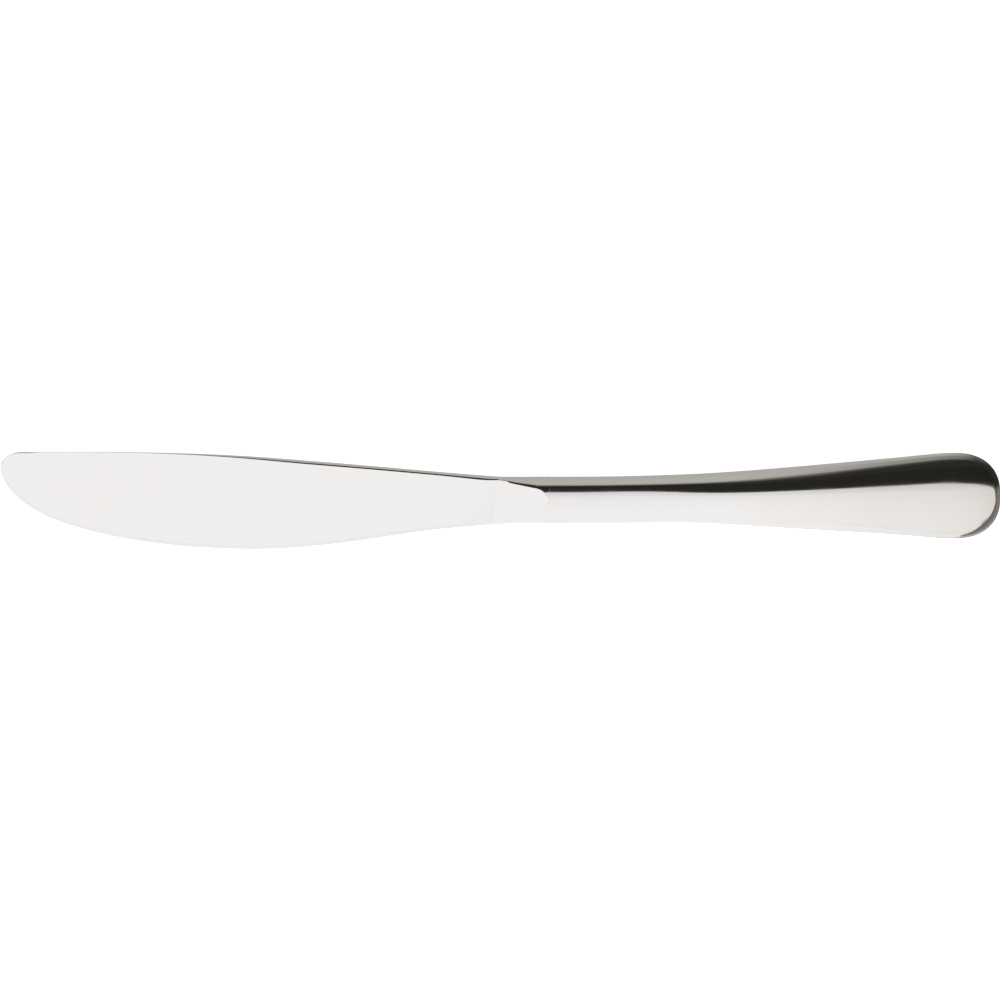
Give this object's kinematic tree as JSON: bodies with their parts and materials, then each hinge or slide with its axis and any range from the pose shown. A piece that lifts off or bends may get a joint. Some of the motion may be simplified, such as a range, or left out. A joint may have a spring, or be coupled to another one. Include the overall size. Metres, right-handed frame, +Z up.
{
  "type": "table knife",
  "caption": "Slim table knife with a round-tipped belly blade, a sloping bolster and a hollow, smoothly swelling handle with a rounded butt.",
  "frame": {"origin": "centre of the knife's bounding box in X and Y, at the lowest point of the handle's belly, on which it lies", "axes": "+X along the knife towards the butt, with the blade tip at -X; +Y towards the spine, with the cutting edge at -Y; +Z up, square to the flat sides of the knife as it lies"},
  "size_m": [0.235, 0.0228, 0.0089],
  "materials": {
    "blade_steel": "polished",
    "handle_steel": "polished",
    "braze_alloy": "satin",
    "filler": "matte"
  },
  "bodies": {
    "root": {"blade": "blade_steel", "front_handle_shell": "handle_steel", "back_handle_shell": "handle_steel", "seam_braze": "braze_alloy", "neck_braze": "braze_alloy", "handle_filler": "filler"}
  },
  "joints": []
}
